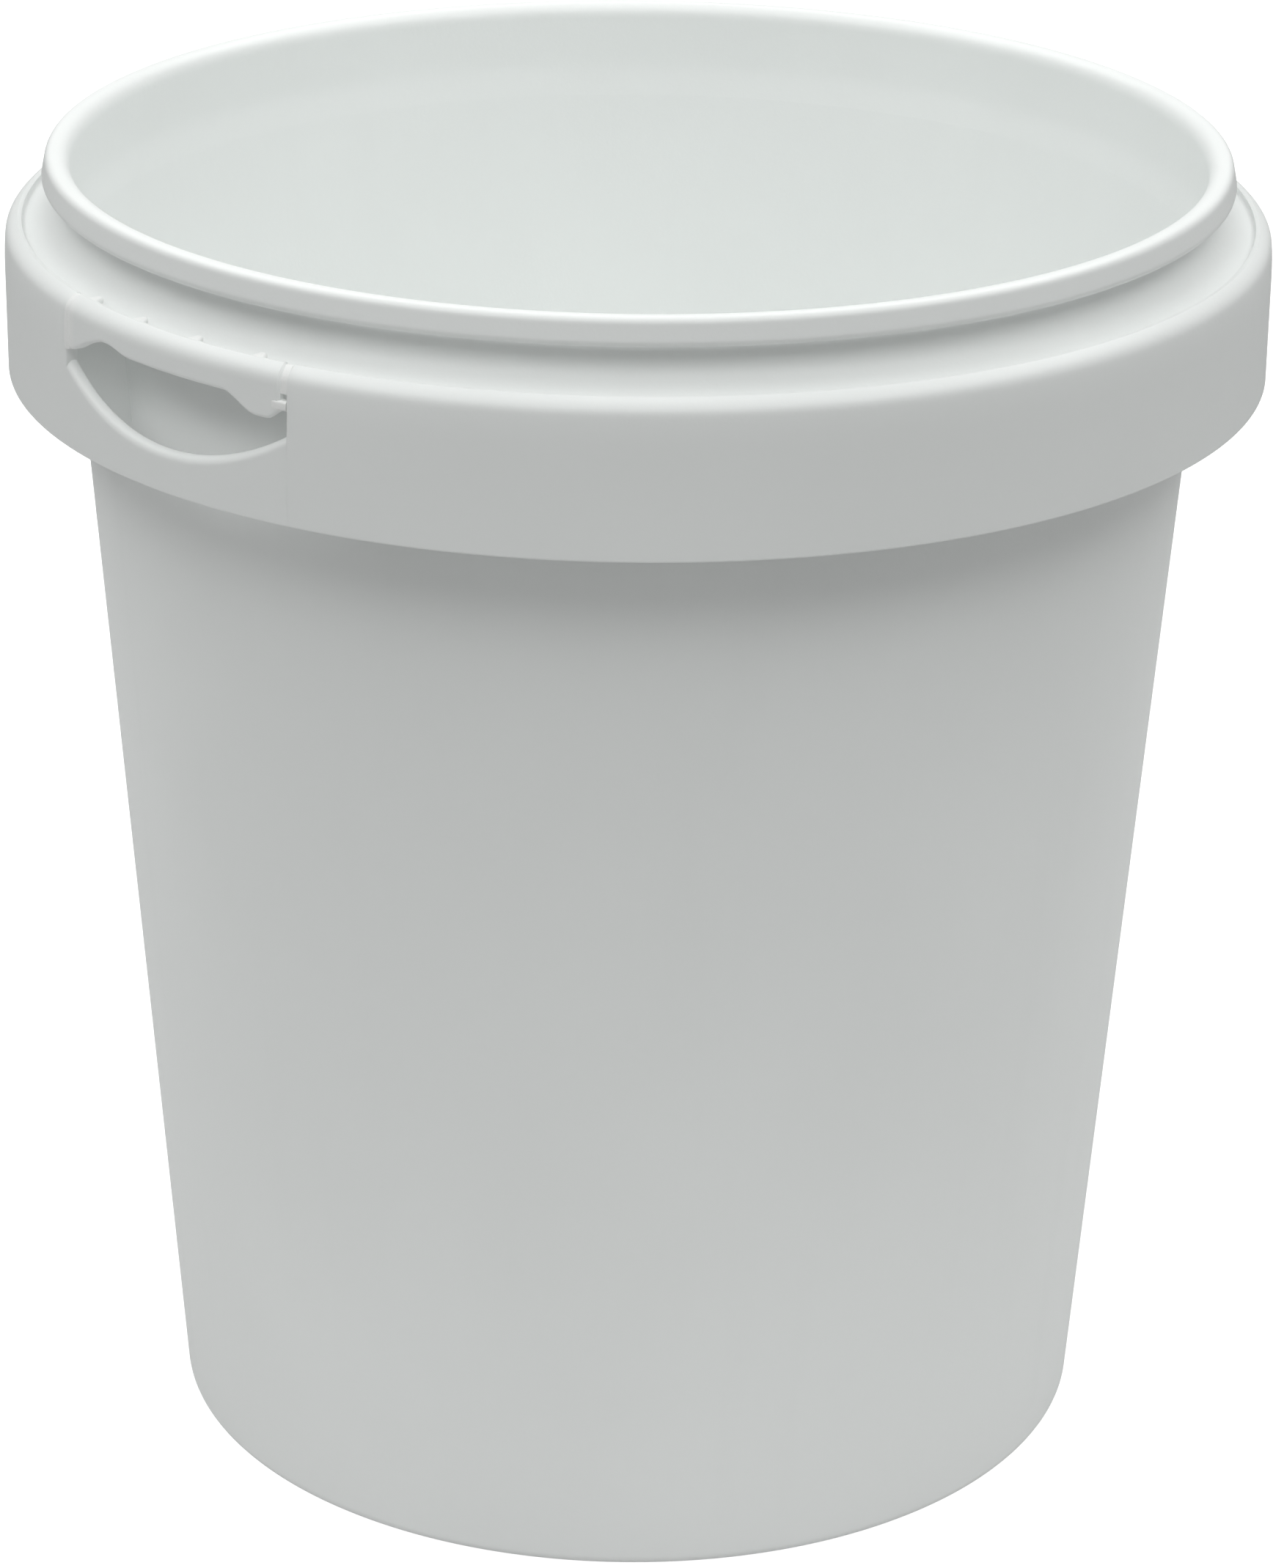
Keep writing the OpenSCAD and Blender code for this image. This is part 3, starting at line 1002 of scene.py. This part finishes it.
class DRUM_OT_film(bpy.types.Operator):
    """Build the film hinge in its score groove"""
    bl_idname = "drum.film"
    bl_label = "Film hinge"

    def execute(self, context):
        middle = azimuth(drum.hinge)
        half = 0.75 * MM / drum.collar_r
        proud, sunk, deep, drop = 0.34 * MM, 0.04 * MM, 0.6 * MM, 0.15 * MM
        foot = Vector((drum.collar_r - 0.1 * MM, drum.film_low))
        spots = [Vector(corner[:2]) for corner in soft_lip(drum.film_low - MM)]
        face = [spot for spot in spots if spot.y > foot.y + 0.3 * MM][1:] + [foot]

        def section(angle):
            welt = proud * (1 - (abs(angle - middle) / half) ** 2) - sunk
            outer = [p + Vector((welt, 0)) for p in face]
            inner = [p - Vector((deep, drop)) for p in face]
            return outer + list(reversed(inner))

        bm = bmesh.new()
        sweep_columns(bm, section, evenly(middle - half, middle + half, 0.06 * MM, drum.collar_r))
        # The film is painted whiter: stress whitening and a painted highlight along the hinge line.
        piece = piece_from("hinge_film_moulded", bm, stressed_plastic_with_highlight("stressed_film_with_highlight").owner)
        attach(piece, TUB)
        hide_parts("hinge_film")
        return {"FINISHED"}


# Stage

def floor_material(name, stage):
    """Matt floor that gives off light of its own, and looks plain white to the camera."""
    shader = Shader(bpy.data.materials.new(name))
    tree = shader.tree
    ray = tree.nodes.new("ShaderNodeLightPath")
    seen = Wire(shader, ray.outputs["Is Camera Ray"])
    glow = tree.nodes.new("ShaderNodeEmission")
    strength = seen * (stage.floor_seen - stage.floor_glow) + stage.floor_glow
    tree.links.new(strength.socket, glow.inputs["Strength"])
    matt = tree.nodes.new("ShaderNodeBsdfDiffuse")
    matt.inputs["Color"].default_value = (0.45, 0.45, 0.45, 1)
    both = tree.nodes.new("ShaderNodeAddShader")
    tree.links.new(matt.outputs[0], both.inputs[0])
    tree.links.new(glow.outputs[0], both.inputs[1])
    tree.links.new(both.outputs[0], tree.nodes["Material Output"].inputs[0])
    return shader.owner


# Sines of the angle above the horizon between which each part of the surroundings comes in or goes out
GROUND, BAND, TOP, BEHIND_TOP = (-0.06, 0.02), (0.59, 0.68), (0.82, 0.88), (0.3, 0.5)
BEHIND = (0.1, 0.6)  # the same, towards the back


def sky(stage):
    """Surroundings that are dim towards the horizon, with a brighter band all round above it."""
    world = bpy.data.worlds.new("surroundings")
    world.use_nodes = True
    shader = Shader(world, "Background", "Generated")
    _, back, height = shader.axes()
    below = 1 - height.clamped(*GROUND)
    band = height.clamped(*BAND) * (stage.sky_band - stage.sky_low)
    top = height.clamped(*TOP) * (stage.sky_top - stage.sky_band)
    behind = back.clamped(*BEHIND) * (1 - height.clamped(*BEHIND_TOP)) * (stage.sky_behind - stage.sky_low)
    strength = band + top + below * (stage.sky_below - stage.sky_low) + behind + stage.sky_low
    shader.set(Strength=strength, Color=(*stage.tint, 1))
    return world


def disc(name, radius, height, material, sides=96):
    bm = bmesh.new()
    turns = [math.tau * i / sides for i in range(sides)]
    ring = [bm.verts.new((radius * math.cos(turn), radius * math.sin(turn), height)) for turn in turns]
    bm.faces.new(ring)
    mesh = bpy.data.meshes.new(name)
    bm.to_mesh(mesh)
    bm.free()
    mesh.materials.append(material)
    piece = link(name, mesh)
    return piece


def hang(light, place, target):
    """Places a light and aims it at a point."""
    held = bpy.data.objects.new(light.name, light)
    held.location = place
    aim = Vector(target) - held.location
    held.rotation_euler = aim.to_track_quat("-Z", "Y").to_euler()
    bpy.context.scene.collection.objects.link(held)


# Where the camera stands and what it looks at, in mm, and how far it is rolled, in degrees
EYE, AIM, ROLL = (0.64, -838.8, 454.8), (0.64, 0, 109.4), 0.625


class DRUM_OT_stage(bpy.types.Operator):
    """Build the floor, the soft light and the camera"""
    bl_idname = "drum.stage"
    bl_label = "Stage"

    def execute(self, context):
        scene = context.scene
        stage = scene.drum_stage
        low = CAD_BOX[0]
        lamp_height = 1.4
        pale = floor_material("pale_floor", stage)
        disc("floor_near", 0.5, low.z - 0.05 * MM, pale)
        far = disc("floor_far", 30.0, low.z - 0.6 * MM, pale)
        far.visible_diffuse = False
        far.visible_glossy = False
        scene.world = sky(stage)
        lamp = bpy.data.lights.new("overhead", "AREA")
        lamp.shape = "DISK"
        lamp.size = 0.5
        lamp.energy = stage.key_power
        lamp.color = stage.tint
        hang(lamp, (0, -0.15, lamp_height), (0, 0, 0.2))
        beam = bpy.data.lights.new("mouth", "SPOT")
        beam.energy = stage.mouth_power
        beam.color = stage.tint
        beam.shadow_soft_size = 0.02
        beam.spot_size = 2 * math.atan(0.9 * drum.neck_in / (lamp_height - drum.top))
        beam.spot_blend = 0.3
        hang(beam, (0, 0, lamp_height), (0, 0, 0))
        camera = bpy.data.cameras.new("camera")
        camera.lens = stage.lens
        camera.sensor_width = 36
        camera.clip_start = 0.01
        eye = bpy.data.objects.new("camera", camera)
        scene.collection.objects.link(eye)
        target = Vector(AIM) * MM
        eye.location = Vector(EYE) * MM
        look = (target - eye.location).to_track_quat("-Z", "Y").to_matrix().to_4x4()
        roll = look @ Matrix.Rotation(math.radians(ROLL), 4, "Z")
        roll.translation = eye.location
        eye.matrix_world = roll
        scene.camera = eye
        scene.view_settings.view_transform = "Standard"
        scene.cycles.max_bounces = 14
        scene.cycles.diffuse_bounces = 12
        return {"FINISHED"}


class DRUM_PT_panel(bpy.types.Panel):
    """Lists the drum's pieces and settings"""
    bl_idname = "DRUM_PT_panel"
    bl_label = "Open head drum"
    bl_space_type = "VIEW_3D"
    bl_region_type = "UI"
    bl_category = "Drum"

    def draw(self, context):
        for step in STEPS:
            self.layout.operator(step.bl_idname)
        for group in (context.scene.drum_sizes, context.scene.drum_finish, context.scene.drum_stage):
            column = self.layout.column()
            for name in group.bl_rna.properties.keys():
                if name not in ("rna_type", "name"):
                    column.prop(group, name)


STEPS = (DRUM_OT_wall, DRUM_OT_base, DRUM_OT_rim, DRUM_OT_collar, DRUM_OT_ribs, DRUM_OT_strip,
         DRUM_OT_bridges, DRUM_OT_end_bridge, DRUM_OT_film, DRUM_OT_stage)
GROUPS = {"drum_sizes": DrumSizes, "drum_finish": DrumFinish, "drum_stage": DrumStage}


def register():
    for name, group in GROUPS.items():
        bpy.utils.register_class(group)
        setattr(bpy.types.Scene, name, bpy.props.PointerProperty(type=group))
    for kind in (*STEPS, DRUM_PT_panel):
        bpy.utils.register_class(kind)


def unregister():
    for kind in reversed((*STEPS, DRUM_PT_panel)):
        bpy.utils.unregister_class(kind)
    for name, group in GROUPS.items():
        delattr(bpy.types.Scene, name)
        bpy.utils.unregister_class(group)


def main():
    register()
    for step in STEPS:
        area, name = step.bl_idname.split(".")
        getattr(getattr(bpy.ops, area), name)()


if __name__ == "__main__":
    main()
